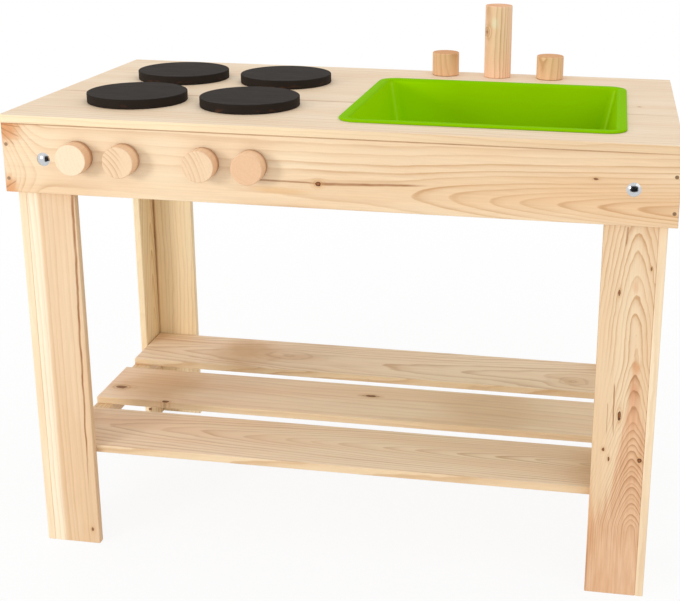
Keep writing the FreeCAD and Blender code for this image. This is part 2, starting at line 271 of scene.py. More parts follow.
# Wood: marks, measured in radii of a knot, half widths of a streak and half sizes of a spot
KNOT_PUSH_REACH = 2.4
KNOT_PUSH_STRETCH = 1.4
KNOT_BLOB_STRETCH = 2.0
KNOT_RAGGED = 0.45
KNOT_MIDDLE_STEP_MM = (2.0, -2.0)
KNOT_OUT_OF_SIGHT = 9.0
KNOT_HALO_STEP = (3.4, 0.9)
KNOT_HALO_SHARE = 0.6
KNOT_WAVE_RADIANS = 5.2
KNOT_LINE_STEP = (0.2, 1.0)
KNOT_RIM_STEP = (1.15, 0.85)
KNOT_CORE_STEP = (0.72, 0.42)
STREAK_SWING_MM = 3.2
STREAK_START_STEP = (-0.04, 0.08)
STREAK_END_STEP = (1.04, 0.8)
STREAK_UNEVEN_SHARE = (0.55, 1.25)
STREAK_STEP = (1.5, 0.4)
SPOT_BLOB_WIDTH = 0.6
SPOT_RAGGED = 0.5
SPOT_STEP = (1.15, 0.25)


@dataclass
class Knot:
    """A knot, from the middle of its board: places and radius in mm, stretch is its length over its width.
    The grain is pushed aside round it, and lines says how plainly it shows thin rings of its own. It goes
    right through the board, or with face 1 or -1 only through the half on that side of the middle."""
    along: float
    across: float
    radius: float
    stretch: float
    dark: float = 1.0
    push: float = 0.85
    warmth: float = 0.5
    lines: float = 0.35
    face: float = 0.0


@dataclass
class Streak:
    """A dark line with the grain, from the middle of its board: places and half widths in mm."""
    start: float
    end: float
    across_start: float
    across_end: float
    width_start: float
    width_end: float
    dark: float
    waver: float


@dataclass
class Patch:
    """A soft stain or a patch of painted shade, from the middle of its board: place, half length and half
    width in mm.
    """
    along: float
    across: float
    half_length: float
    half_width: float
    tint: tuple
    strength: float


@dataclass
class Fade:
    """A place where the ring lines fade, or stand out if strength is below 0, from the middle of the board:
    place, half length and half width in mm."""
    along: float
    across: float
    half_length: float
    half_width: float
    strength: float


@dataclass
class RunOut:
    """Year rings that leave the board past a place, towards one side of it (1 or -1), so that they show as
    nested arches. Further than core from the pith they keep more and more to the board's own line."""
    start: float
    side: float
    slope: float
    core: float = None
    blend: float = 40.0


@dataclass
class Grain:
    """How a board was cut from its log, in mm: where the pith ran beside the board's middle, how wide the
    year rings are, how steeply they run out along the board, and what else shows on it. The grain runs
    with the longest side, or with axis 0, 1 or 2 where that is given."""
    pith_across: float
    pith_depth: float
    ring: float
    runout: float = 0.0
    runouts: tuple = ()
    pith_lean: float = 0.0
    pith_sink: float = 0.0
    wander: float = 9.0
    ripple: float = 0.7
    figure: float = 0.8
    hearts: tuple = ()
    warmth: float = 0.0
    tint: tuple = (EARLY_WOOD, WARM_WOOD)
    end_tint: tuple = None
    edge_tint: tuple = None
    pale_edge: tuple = None
    knots: tuple = ()
    streaks: tuple = ()
    patches: tuple = ()
    fades: tuple = ()
    axis: int = None


@dataclass
class Board:
    """The sockets that say where a point of a board is, in mm from its middle, also as one vector, and how
    far the surface faces along and across the board."""
    along: bpy.types.NodeSocket
    across: bpy.types.NodeSocket
    depth: bpy.types.NodeSocket
    place: bpy.types.NodeSocket
    faces_along: bpy.types.NodeSocket
    faces_across: bpy.types.NodeSocket


def board_axes(low, high, axis):
    """The axes along, across and through a board. Sides that round to the same size keep their order."""
    size = high - low
    order = sorted(range(3), key=lambda i: -round(size[i], SIZE_DIGITS))
    if axis is not None:
        order.remove(axis)
        order.insert(0, axis)
    return order


def lay_out(s, low, high, axis):
    """Makes the sockets of a board."""
    order = board_axes(low, high, axis)
    parts = s.split(s.place_mm((low + high) / 2))
    along, across, depth = (parts[i] for i in order)
    facing = s.facing()
    return Board(along, across, depth, s.join(along, across, depth), facing[order[0]], facing[order[1]])


def push_grain(s, board, knots):
    """The distance across the board, stretched so that the grain parts and flows round each knot."""
    pushed = board.across
    for knot in knots:
        reach = KNOT_PUSH_REACH * knot.radius
        reach_along = reach * knot.stretch * KNOT_PUSH_STRETCH
        step_along = s.times(s.minus(board.along, knot.along), 1.0 / reach_along)
        step_across = s.minus(board.across, knot.across)
        near = s.length(step_along, s.times(step_across, 1.0 / reach))
        pull = s.math("EXPONENT", s.times(s.times(near, near), -1.0))
        pushed = s.minus(pushed, s.times(s.times(step_across, pull), knot.push))
    return pushed


def ragged_distance(s, board, spot, half_length, half_width, blobs, ragged, seed):
    """Distance from the middle of a knot, patch or fade, 1 at its edge, with a ragged outline."""
    step_along = s.times(s.minus(board.along, spot.along), 1.0 / half_length)
    step_across = s.times(s.minus(board.across, spot.across), 1.0 / half_width)
    noise = s.noise(board.place, blobs, seed)
    return s.plus(s.length(step_along, step_across), s.spread(noise, -ragged, ragged))


def paint_knot(s, wood, board, knot, seed):
    """Adds a knot's warm halo, thin rings, dark rim and brown core to the wood's colour."""
    blobs = Blobs((knot.radius * KNOT_BLOB_STRETCH, knot.radius, SPOT_DEPTH_MM), SPOT_DETAIL)
    half_length = knot.radius * knot.stretch
    near = ragged_distance(s, board, knot, half_length, knot.radius, blobs, KNOT_RAGGED, seed)
    if knot.face:
        past_middle = s.smooth(s.times(board.depth, knot.face), *KNOT_MIDDLE_STEP_MM)
        near = s.plus(near, s.times(past_middle, KNOT_OUT_OF_SIGHT))
    halo = s.times(s.smooth(near, *KNOT_HALO_STEP), knot.warmth)
    wood = s.mix(s.times(halo, KNOT_HALO_SHARE), wood, KNOT_HALO)
    wave = s.math("SINE", s.times(near, KNOT_WAVE_RADIANS))
    lines = s.smooth(wave, *KNOT_LINE_STEP)
    wood = s.mix(s.times(s.times(lines, halo), knot.lines), wood, STREAK_BROWN)
    wood = s.mix(s.times(s.smooth(near, *KNOT_RIM_STEP), knot.dark), wood, KNOT_RIM)
    return s.mix(s.times(s.smooth(near, *KNOT_CORE_STEP), knot.dark), wood, KNOT_CORE)


def paint_streak(s, wood, board, streak, seed):
    """Adds a dark line that wanders and thins a little, and fades out at both ends of its run, 0 to 1."""
    run = s.math("DIVIDE", s.minus(board.along, streak.start), streak.end - streak.start)
    swing = STREAK_SWING_MM * streak.waver
    sway = s.spread(s.noise(board.place, STREAK_SWAY, seed), -swing, swing)
    middle = s.plus(s.spread(run, streak.across_start, streak.across_end), sway)
    width = s.spread(run, streak.width_start, streak.width_end)
    near = s.math("DIVIDE", s.math("ABSOLUTE", s.minus(board.across, middle)), width)
    ends = s.times(s.smooth(run, *STREAK_START_STEP), s.smooth(run, *STREAK_END_STEP))
    uneven = s.spread(s.noise(board.place, STREAK_UNEVEN, seed), *STREAK_UNEVEN_SHARE)
    strength = s.times(s.times(ends, uneven), streak.dark)
    return s.mix(s.times(s.smooth(near, *STREAK_STEP), strength), wood, STREAK_BROWN)


def soft_spot(s, board, spot, seed):
    """Strength of a patch or fade at this point: full in its middle, with a soft, ragged edge."""
    blobs = Blobs((spot.half_length, spot.half_width * SPOT_BLOB_WIDTH, SPOT_DEPTH_MM), SPOT_DETAIL)
    near = ragged_distance(s, board, spot, spot.half_length, spot.half_width, blobs, SPOT_RAGGED, seed)
    return s.times(s.smooth(near, *SPOT_STEP), spot.strength)


def run_out(s, board, from_pith, grain):
    """How far the rings run out of the board at this point of its length."""
    total = s.times(board.along, grain.runout)
    for run in grain.runouts:
        ahead = s.times(s.minus(board.along, run.start), run.side)
        past = s.times(s.math("SMOOTH_MAX", ahead, 0.0, run.blend), run.side * run.slope)
        if run.core is not None:
            off_core = s.times(from_pith, 1.0 / run.core)
            past = s.math("DIVIDE", past, s.plus(s.times(off_core, off_core), 1.0))
        total = s.plus(total, past)
    return total


def ring_lines(s, board, from_pith, sway, grain, seed):
    """How dark the year rings are at this point: they lie round the pith, run out and wander a little."""
    pith_depth = s.plus(s.times(board.along, grain.pith_sink), grain.pith_depth)
    radius = s.length(from_pith, s.minus(board.depth, pith_depth))
    radius = s.plus(radius, run_out(s, board, from_pith, grain))
    radius = s.plus(radius, s.spread(sway, -grain.wander, grain.wander))
    ripple = s.noise(board.place, RIPPLE, seed)
    radius = s.plus(radius, s.spread(ripple, -grain.ripple, grain.ripple))
    rings = s.times(radius, 1.0 / grain.ring)
    uneven = s.noise(s.join(rings, board.along, board.depth), UNEVEN_RINGS, seed)
    rings = s.plus(rings, s.spread(uneven, -RING_UNEVENNESS, RING_UNEVENNESS))
    late = s.ramp(s.math("FRACT", rings), RING_STOPS)
    ring_number = {"W": s.math("FLOOR", rings)}
    chance = s.add("ShaderNodeTexWhiteNoise", ring_number, noise_dimensions="1D").outputs["Value"]
    patchy = s.smooth(s.noise(board.place, PATCHY_RINGS, seed), *PATCHY_STEP)
    strength = s.times(s.spread(chance, *RING_SHARE), s.spread(patchy, *PATCHY_SHARE))
    late = s.times(s.times(late, strength), grain.figure)
    for number, fade in enumerate(grain.fades):
        faded = soft_spot(s, board, fade, seed + FADE_DRAW + number)
        late = s.times(late, s.minus(1.0, faded))
    return s.math("MINIMUM", late, 1.0)


def early_wood(s, board, end, sway, grain, seed):
    """The colour between the ring lines: pale wood with warm drifts, tinted edges and ends, stains, and
    painted shade.
    """
    drift = s.smooth(s.noise(board.place, DRIFT, seed), *DRIFT_STEP)
    pale, warm = grain.tint
    wood = s.mix(s.math("MINIMUM", s.plus(drift, grain.warmth), 1.0), pale, warm)
    if grain.pale_edge is not None:
        wavy_across = s.plus(board.across, s.spread(sway, -PALE_EDGE_SWAY_MM, PALE_EDGE_SWAY_MM))
        wood = s.mix(s.smooth(wavy_across, *grain.pale_edge), wood, PALE_WOOD)
    if grain.edge_tint is not None:
        edge = s.smooth(s.math("ABSOLUTE", board.faces_across), *EDGE_STEP)
        edge_wood = s.mix(s.smooth(board.along, *EDGE_LEFT_TO_RIGHT_MM), *grain.edge_tint)
        wood = s.mix(edge, wood, edge_wood)
    if grain.end_tint is not None:
        wood = s.mix(end, wood, grain.end_tint)
    # Patches are stains, and some hold painted shade where other parts shade the wood
    for number, patch in enumerate(grain.patches):
        stain_and_shade = soft_spot(s, board, patch, seed + PATCH_DRAW + number)
        wood = s.mix(stain_and_shade, wood, patch.tint)
    return wood


def paint_heart(s, wood, board, from_pith, late, hearts, seed):
    """Adds the darker heartwood, which shows as pointed tongues (tip, slope) that widen downward."""
    ragged = s.spread(s.noise(board.place, HEART_EDGE, seed), -HEART_RAGGED_MM, HEART_RAGGED_MM)
    ragged_along = s.plus(board.along, ragged)
    heart = 0.0
    for tip, slope in hearts:
        above = s.plus(ragged_along, s.times(s.math("ABSOLUTE", from_pith), slope))
        inside = s.smooth(above, tip + HEART_SOFT_MM, tip - HEART_SOFT_MM)
        heart = s.math("MAXIMUM", heart, inside)
    smear = s.smooth(s.noise(board.place, HEART_SMEAR, seed), *HEART_SMEAR_STEP)
    heart_wood = s.mix(smear, HEART_WOOD, HEART_PALE)
    wood = s.mix(s.times(heart, HEART_COLOUR_SHARE), wood, heart_wood)
    return s.mix(s.times(s.times(late, heart), HEART_LINE_SHARE), wood, STREAK_BROWN)


def pine(name, low, high, grain, seed):
    """Planed pine: year rings cut by the board's faces, fibres, knots, heartwood and darker end grain."""
    s = new_shade(name)
    board = lay_out(s, low, high, grain.axis)
    end = s.smooth(s.math("ABSOLUTE", board.faces_along), *END_STEP)
    pith = s.plus(s.times(board.along, grain.pith_lean), grain.pith_across)
    from_pith = s.minus(push_grain(s, board, grain.knots), pith)
    sway = s.noise(board.place, SWAY, seed)
    late = ring_lines(s, board, from_pith, sway, grain, seed)
    wood = s.mix(late, early_wood(s, board, end, sway, grain, seed), LATE_WOOD)
    if grain.hearts:
        wood = paint_heart(s, wood, board, from_pith, late, grain.hearts, seed)
    fibre = s.noise(board.place, FIBRE, seed)
    fine = s.noise(board.place, FINE_FIBRE, seed)
    tone = s.times(s.spread(fibre, *FIBRE_TONE), s.spread(fine, *FINE_FIBRE_TONE))
    wood = s.mix(1.0, wood, s.join(tone, tone, tone), "MULTIPLY")
    for number, streak in enumerate(grain.streaks):
        wood = paint_streak(s, wood, board, streak, seed + STREAK_DRAW + number)
    for number, knot in enumerate(grain.knots):
        wood = paint_knot(s, wood, board, knot, seed + KNOT_DRAW + number)

    # End grain drinks in more light, so it is darker and rougher
    if grain.end_tint is None:
        dark_end = s.mix(1.0, wood, END_WOOD, "MULTIPLY")
        wood = s.mix(s.times(end, END_SHARE), wood, dark_end)
    roughness = s.plus(s.spread(fibre, *WOOD_ROUGHNESS), s.times(end, END_ROUGHNESS))
    fibre_height = s.plus(fibre, s.times(fine, FINE_FIBRE_HEIGHT))
    height = s.plus(s.times(late, RING_HEIGHT), fibre_height)
    return s.finish(wood, roughness, s.bump(height, *WOOD_BUMP), Specular_IOR_Level=WOOD_GLOSS)


# Wood: the boards. The order of the boards and of their marks sets their seeds

FRONT_TO_BACK = 1
UPRIGHT = 2
WORKTOP_TINT = (GREY_PINE, colour(237, 212, 181))
WORKTOP_EDGE = (colour(249, 227, 189), colour(234, 204, 164))
SLAT_TINT = (colour(253, 229, 202), colour(248, 216, 186))
SLAT_EDGE = (colour(240, 214, 176), colour(236, 206, 166))
# Painted shade on the shelf slats, beside the legs and under the worktop
SLAT_PAINTED_SHADE = colour(212, 166, 118)
SIDE_TINT = (colour(250, 228, 194), colour(244, 217, 180))
DOWEL_TINT = (colour(240, 199, 155), colour(232, 186, 142))
BACK_TINT = (colour(255, 237, 200), colour(254, 230, 189))
LEFT_LEG_TINT = (colour(235, 208, 173), colour(230, 196, 157))
SPOUT_TINT = (colour(253, 212, 178), colour(247, 200, 164))
APRON_WARM = colour(232, 186, 138)
APRON_PALE = colour(247, 225, 192)
APRON_GOLD = colour(234, 188, 130)
KNOB_TINT = (colour(240, 204, 168), colour(233, 193, 155))
KNOB_CREAM = colour(245, 222, 190)
KNOB_SAND = colour(238, 208, 172)
KNOB_PINK = colour(232, 191, 152)
# Painted shade round the back of each knob's side, where it meets the apron
KNOB_PAINTED_SHADE = Patch(11.0, 0.0, 9.0, 200.0, colour(146, 94, 52), 0.7)

BOARDS = {
    # Worktop and slats: the pith lies under the face that shows
    "worktop_front_board": Grain(
        pith_across=-140.0, pith_depth=-70.0, ring=7.0, runout=0.008, wander=6.0, figure=0.4,
        tint=WORKTOP_TINT, edge_tint=WORKTOP_EDGE,
        streaks=(Streak(-430.0, 430.0, 80.4, 80.4, 1.1, 1.1, dark=0.7, waver=0.0),)),
    "worktop_back_board": Grain(
        pith_across=150.0, pith_depth=-60.0, ring=7.5, runout=-0.006, wander=6.0, figure=0.4,
        tint=WORKTOP_TINT, edge_tint=WORKTOP_EDGE,
        knots=(Knot(354.0, -80.0, 1.6, 1.5, dark=0.6),),
        streaks=(Streak(-430.0, 430.0, -128.4, -128.4, 0.7, 0.7, dark=0.5, waver=0.0),)),
    "front_shelf_slat": Grain(
        pith_across=6.0, pith_depth=-24.0, ring=8.0, figure=0.7,
        runouts=(RunOut(-330.0, 1.0, -0.16, core=30.0),),
        tint=SLAT_TINT, edge_tint=SLAT_EDGE,
        # Painted shade: darker at the right end, and at the left end where the front left leg casts its
        # shadow
        patches=(Patch(355.0, 0.0, 85.0, 80.0, SLAT_PAINTED_SHADE, 0.6),
                 Patch(-376.0, 12.0, 36.0, 70.0, SLAT_PAINTED_SHADE, 0.45))),
    "middle_shelf_slat": Grain(
        pith_across=-90.0, pith_depth=-70.0, ring=8.0, runout=0.01, figure=0.3, warmth=0.2,
        tint=SLAT_TINT, edge_tint=SLAT_EDGE,
        knots=(Knot(-356.0, -16.0, 5.0, 1.6, dark=0.75, warmth=0.8),
               Knot(2.5, 17.0, 2.8, 2.6, dark=0.95, warmth=0.8),
               Knot(-277.0, -50.0, 2.5, 2.0)),
        streaks=(Streak(-16.0, 20.0, 17.0, 17.0, 0.8, 0.6, dark=0.7, waver=0.1),
                 Streak(-356.0, -330.0, -16.5, -16.0, 1.0, 0.6, dark=0.5, waver=0.1)),
        # Painted shade on the slat's left part and on its right middle
        patches=(Patch(-300.0, 0.0, 75.0, 70.0, SLAT_PAINTED_SHADE, 0.6),
                 Patch(175.0, 0.0, 105.0, 80.0, SLAT_PAINTED_SHADE, 0.35))),
    "back_shelf_slat": Grain(
        pith_across=-12.0, pith_depth=-24.0, ring=7.5, runout=-0.06, wander=12.0, figure=0.7,
        warmth=-0.5, tint=SLAT_TINT, edge_tint=SLAT_EDGE,
        knots=(Knot(-150.0, 0.0, 9.0, 2.4, dark=0.0, push=0.9, warmth=0.3, lines=0.6),
               Knot(285.0, -18.0, 9.0, 1.5, dark=0.0, push=0.9, warmth=0.3, lines=0.6)),
        # Painted shade on the slat's left part
        patches=(Patch(-222.0, 0.0, 60.0, 70.0, SLAT_PAINTED_SHADE, 0.7),)),
    # Aprons
    "front_apron": Grain(
        pith_across=-20.0, pith_depth=11.0, ring=10.0, pith_lean=-0.008, pith_sink=-0.026, wander=6.0,
        runouts=(RunOut(85.0, 1.0, -0.2, core=26.0), RunOut(-360.0, -1.0, 1.5, blend=30.0)),
        knots=(Knot(-12.3, -12.5, 2.6, 1.3, warmth=0.8), Knot(305.6, 10.2, 1.2, 2.4, dark=0.8, push=0.4)),
        # The first streak runs along the top edge: a dark joint line with painted shadow under the worktop's
        # edge
        streaks=(Streak(-410.0, 410.0, 42.0, 42.0, 0.9, 0.9, dark=0.55, waver=0.0),
                 Streak(-400.0, -372.0, 41.0, 38.0, 0.9, 0.6, dark=0.5, waver=0.2),
                 Streak(-400.0, -376.0, 37.0, 26.0, 1.2, 0.7, dark=0.5, waver=0.2),
                 Streak(-400.0, -382.0, 33.0, 15.0, 1.4, 0.8, dark=0.45, waver=0.2),
                 Streak(-400.0, -384.0, -38.0, -28.0, 1.2, 0.7, dark=0.5, waver=0.2),
                 Streak(-85.0, -4.0, -10.5, -12.5, 1.3, 0.8, dark=0.75, waver=0.35),
                 Streak(-16.0, 115.0, -12.5, -8.0, 1.9, 1.1, dark=0.8, waver=0.35)),
        patches=(Patch(-394.0, 38.0, 27.0, 24.0, ORANGE_WOOD, 0.9),
                 Patch(-395.0, -38.0, 13.0, 20.0, ORANGE_WOOD, 0.8),
                 Patch(330.0, -16.0, 260.0, 34.0, APRON_WARM, 0.5),
                 Patch(-180.0, 8.0, 230.0, 60.0, APRON_PALE, 0.65),
                 Patch(-59.0, -23.0, 48.0, 6.0, APRON_GOLD, 0.6)),
        fades=(Fade(240.0, -22.0, 240.0, 26.0, -0.7),
               Fade(-180.0, 0.0, 220.0, 70.0, 0.6),
               Fade(-230.0, -40.0, 190.0, 13.0, 0.8))),
    "back_apron": Grain(
        pith_across=18.0, pith_depth=-20.0, ring=6.0, runout=0.05,
        knots=(Knot(-140.0, 14.0, 4.5, 1.6),)),
    "left_apron": Grain(pith_across=-20.0, pith_depth=25.0, ring=6.0, runout=0.06),
    "right_apron": Grain(
        pith_across=12.0, pith_depth=-25.0, ring=6.0, runout=-0.05,
        knots=(Knot(60.0, -14.0, 3.5, 1.6),)),
    # Legs
    "front_right_leg_face": Grain(
        pith_across=14.5, pith_depth=13.0, ring=5.0, runout=0.12, pith_lean=-0.035, wander=4.0,
        ripple=1.3, figure=0.95, hearts=((25.0, 6.6), (-108.0, 1.5)),
        runouts=(RunOut(230.0, -1.0, 0.1, core=24.0, blend=20.0),
                 RunOut(75.0, -1.0, -0.19, core=30.0, blend=10.0),
                 RunOut(28.0, -1.0, 0.22, core=30.0, blend=10.0),
                 RunOut(-49.0, -1.0, 0.3, core=60.0, blend=10.0),
                 RunOut(-113.0, -1.0, 0.15, core=60.0, blend=10.0),
                 RunOut(-186.0, -1.0, -0.6, core=60.0, blend=10.0)),
        knots=(Knot(114.0, -9.0, 1.4, 2.8, dark=0.8), Knot(-40.0, -1.0, 1.9, 3.4),
               Knot(-86.0, -17.5, 1.6, 1.4), Knot(-98.0, -10.5, 1.2, 2.2),
               Knot(-97.0, 26.0, 2.4, 1.3), Knot(145.0, 25.5, 1.1, 2.2, dark=0.7)),
        streaks=(Streak(0.0, -68.0, -8.6, -6.5, 0.8, 0.6, dark=0.8, waver=0.5),
                 Streak(-25.0, -66.0, -15.0, -14.5, 0.5, 0.4, dark=0.6, waver=0.4),
                 Streak(194.0, 170.0, -3.0, -5.0, 1.2, 1.0, dark=0.6, waver=0.4)),
        patches=(Patch(122.0, 9.0, 11.0, 4.0, ORANGE_WOOD, 0.35),
                 Patch(22.0, 15.0, 12.0, 6.0, ORANGE_WOOD, 0.65),
                 Patch(-10.0, 13.5, 22.0, 5.0, RED_WOOD, 0.65),
                 Patch(-42.0, 15.0, 18.0, 8.0, HEART_PALE, 0.6),
                 Patch(-190.0, -29.0, 60.0, 5.0, ORANGE_WOOD, 0.5),
                 Patch(-255.0, -31.0, 60.0, 2.6, STREAK_BROWN, 0.6)),
        fades=(Fade(-50.0, -26.0, 170.0, 22.0, 0.9),
               Fade(-265.0, 0.0, 80.0, 60.0, 0.95),
               Fade(-8.0, 14.0, 34.0, 9.0, -0.9))),
    "front_right_leg_side": Grain(
        pith_across=60.0, pith_depth=40.0, ring=6.0, runout=0.01, figure=0.35, tint=SIDE_TINT),
    "front_left_leg_face": Grain(
        pith_across=-90.0, pith_depth=50.0, ring=6.0, runout=0.004, wander=3.0, figure=0.4,
        warmth=0.35, tint=LEFT_LEG_TINT, pale_edge=(-14.0, -20.0),
        knots=(Knot(-262.0, 22.0, 1.7, 1.6, dark=0.8),),
        streaks=(Streak(222.0, -208.0, 28.8, 20.5, 1.9, 0.8, dark=0.9, waver=0.6),)),
    "front_left_leg_side": Grain(
        pith_across=70.0, pith_depth=50.0, ring=6.0, runout=0.004, figure=0.3, tint=SIDE_TINT),
    "back_left_leg_face": Grain(
        pith_across=60.0, pith_depth=40.0, ring=5.0, runout=0.01, figure=0.4, tint=BACK_TINT,
        # A brown band along the inner corner: brown stain with painted shade of the corner
        patches=(Patch(60.0, -31.5, 260.0, 4.6, STREAK_BROWN, 0.8),)),
    "back_left_leg_side": Grain(
        pith_across=4.0, pith_depth=12.0, ring=6.0, runout=0.12, figure=0.9, warmth=0.2, tint=BACK_TINT,
        knots=(Knot(-190.0, -22.0, 5.0, 1.3), Knot(-255.0, -31.0, 2.0, 1.0, face=1.0)),
        fades=(Fade(0.0, -32.0, 600.0, 5.0, 0.9),)),
    "back_right_leg_face": Grain(pith_across=-10.0, pith_depth=22.0, ring=5.5, runout=0.09),
    "back_right_leg_side": Grain(
        pith_across=40.0, pith_depth=-26.0, ring=5.5, runout=0.05,
        knots=(Knot(40.0, 6.0, 4.0, 1.5),)),
    # Shelf rails
    "left_shelf_rail": Grain(pith_across=30.0, pith_depth=20.0, ring=4.5, runout=0.02, figure=0.6),
    "right_shelf_rail": Grain(pith_across=-26.0, pith_depth=24.0, ring=4.5, runout=0.02, figure=0.6),
    # Turned pieces: cut from rods, so the knobs show end grain at the front
    "tap_spout": Grain(
        pith_across=40.0, pith_depth=40.0, ring=4.2, runout=0.012, wander=3.0, figure=0.75,
        tint=SPOUT_TINT, axis=UPRIGHT,
        knots=(Knot(14.0, -15.0, 2.6, 1.5, dark=0.25, warmth=0.7, lines=0.7, face=-1.0),),
        patches=(Patch(27.0, -3.0, 11.0, 7.0, PALE_WOOD, 0.8),)),
    "tap_handle_left": Grain(
        pith_across=-40.0, pith_depth=30.0, ring=5.0, runout=0.05, wander=4.0, figure=1.0, warmth=0.5,
        tint=DOWEL_TINT, axis=UPRIGHT),
    "tap_handle_right": Grain(
        pith_across=30.0, pith_depth=40.0, ring=5.0, runout=0.05, wander=4.0, figure=0.9,
        tint=DOWEL_TINT, axis=UPRIGHT),
    # Every knob carries the painted shade next to the apron
    "knob_1": Grain(
        pith_across=70.0, pith_depth=20.0, ring=5.0, wander=2.0, figure=0.12,
        tint=KNOB_TINT, end_tint=KNOB_CREAM, axis=FRONT_TO_BACK, patches=(KNOB_PAINTED_SHADE,)),
    "knob_2": Grain(
        pith_across=-50.0, pith_depth=-36.0, ring=6.0, wander=1.5, figure=1.0,
        tint=KNOB_TINT, end_tint=KNOB_SAND, axis=FRONT_TO_BACK, patches=(KNOB_PAINTED_SHADE,),
        fades=(Fade(0.0, 14.0, 200.0, 18.0, 0.95),)),
    "knob_3": Grain(
        pith_across=-70.0, pith_depth=-28.0, ring=4.6, wander=1.5, figure=0.6,
        tint=KNOB_TINT, end_tint=KNOB_SAND, axis=FRONT_TO_BACK, patches=(KNOB_PAINTED_SHADE,),
        fades=(Fade(0.0, 16.0, 200.0, 18.0, 0.8),)),
    "knob_4": Grain(
        pith_across=40.0, pith_depth=70.0, ring=6.0, wander=2.0, figure=0.12,
        tint=KNOB_TINT, end_tint=KNOB_PINK, axis=FRONT_TO_BACK, patches=(KNOB_PAINTED_SHADE,)),
}
BOARD_SEED_START = 1.0
BOARD_SEED_STEP = 1.7


# Paint on the hob discs: rub heights are shares of half a disc's height

DISC_NODES = ("hob_disc_front_left", "hob_disc_front_right", "hob_disc_back_left", "hob_disc_back_right")
DISC_SEED_START = 3.0
DISC_SEED_STEP = 2.3
PAINT_DARK = colour(32, 26, 22)
PAINT_LIGHT = colour(44, 37, 32)
PAINT_GRAIN = colour(54, 47, 40)
PAINT_RUB = colour(96, 60, 38)
DISC_GRAIN = Blobs((60.0, 2.2, 30.0), 3.0)
DISC_BLOTCH = Blobs((26.0, 26.0, 26.0), 3.0, 1.0)
DISC_RUB = Blobs((14.0, 14.0, 5.0), 3.0, 2.0)
DISC_SPECK = Blobs((0.9, 0.9, 0.9), 2.0, 3.0)
DISC_TOP_STEP = (0.5, 0.9)
DISC_GRAIN_STEP = (0.45, 0.75)
DISC_RUB_STEP = (0.52, 0.72)
DISC_RUB_HEIGHTS = (0.4, -0.9)
DISC_RUB_SHARE = 0.55
DISC_SPECK_HEIGHT = 0.35
DISC_BUMP = (0.25, 0.0007)
DISC_ROUGHNESS = (0.66, 0.8)
DISC_GLOSS = 0.1


def black_paint(name, low, high, seed):
    """Matt black paint on a wooden disc: faint grain under it on top, rubbed brown low on the side."""
    s = new_shade(name)
    place = s.place_mm((low + high) / 2)
    half_height = MM_PER_METRE * (high.z - low.z) / 2
    top = s.smooth(s.facing()[2], *DISC_TOP_STEP)
    grain = s.times(s.noise(place, DISC_GRAIN, seed), top)
    blotch = s.noise(place, DISC_BLOTCH, seed)
    paint = s.mix(blotch, PAINT_DARK, PAINT_LIGHT)
    paint = s.mix(s.smooth(grain, *DISC_GRAIN_STEP), paint, PAINT_GRAIN)
    rub = s.smooth(s.noise(place, DISC_RUB, seed), *DISC_RUB_STEP)
    rub_start, rub_full = DISC_RUB_HEIGHTS
    low_down = s.smooth(s.split(place)[2], rub_start * half_height, rub_full * half_height)
    paint = s.mix(s.times(s.times(rub, low_down), DISC_RUB_SHARE), paint, PAINT_RUB)
    speck = s.times(s.noise(place, DISC_SPECK, seed), DISC_SPECK_HEIGHT)
    normal = s.bump(s.plus(grain, speck), *DISC_BUMP)
    return s.finish(paint, s.spread(blotch, *DISC_ROUGHNESS), normal, Specular_IOR_Level=DISC_GLOSS)


# Plastic of the sink, with painted light, shade and highlights: runs and falls are shares of its half length
# and half height

SINK_GREEN = colour(146, 196, 0)
SINK_CLOUD_GREEN = colour(153, 203, 0)
SINK_PAINTED_LIGHT_GREEN = colour(163, 217, 0)
SINK_PAINTED_SHADE_GREEN = colour(136, 182, 0)
SINK_CREASE_HIGHLIGHT_GREEN = colour(190, 230, 70)
SINK_RIM_GREEN = colour(134, 194, 0)
SINK_CLOUD = Blobs((70.0, 70.0, 70.0), 3.0, 2.0)
SINK_SKIN = Blobs((1.1, 1.1, 1.1), 2.0, 5.0)
SINK_SCUFF = Blobs((30.0, 2.0, 30.0), 3.0, 8.0)
SINK_RIM_BELOW_TOP_MM = (4.0, 1.0)
SINK_PAINTED_LIGHT_RUN = (-0.25, -0.85)
SINK_SHADE_RUN = (-0.6, 1.0)
SINK_SHADE_FALL = (0.9, -0.8)
SINK_PAINTED_SHADE_SHARE = 0.8
SINK_CREASE_HIGHLIGHT_STEP = (0.4, 0.48)
SINK_CREASE_HIGHLIGHT_SHARE = 0.35
SINK_SCUFF_STEP = (0.58, 0.8)
SINK_SCUFF_ROUGHNESS = 0.06
SINK_ROUGHNESS = (0.46, 0.56)
SINK_BUMP = (0.05, 0.0004)
SINK_GLOSS = 0.005


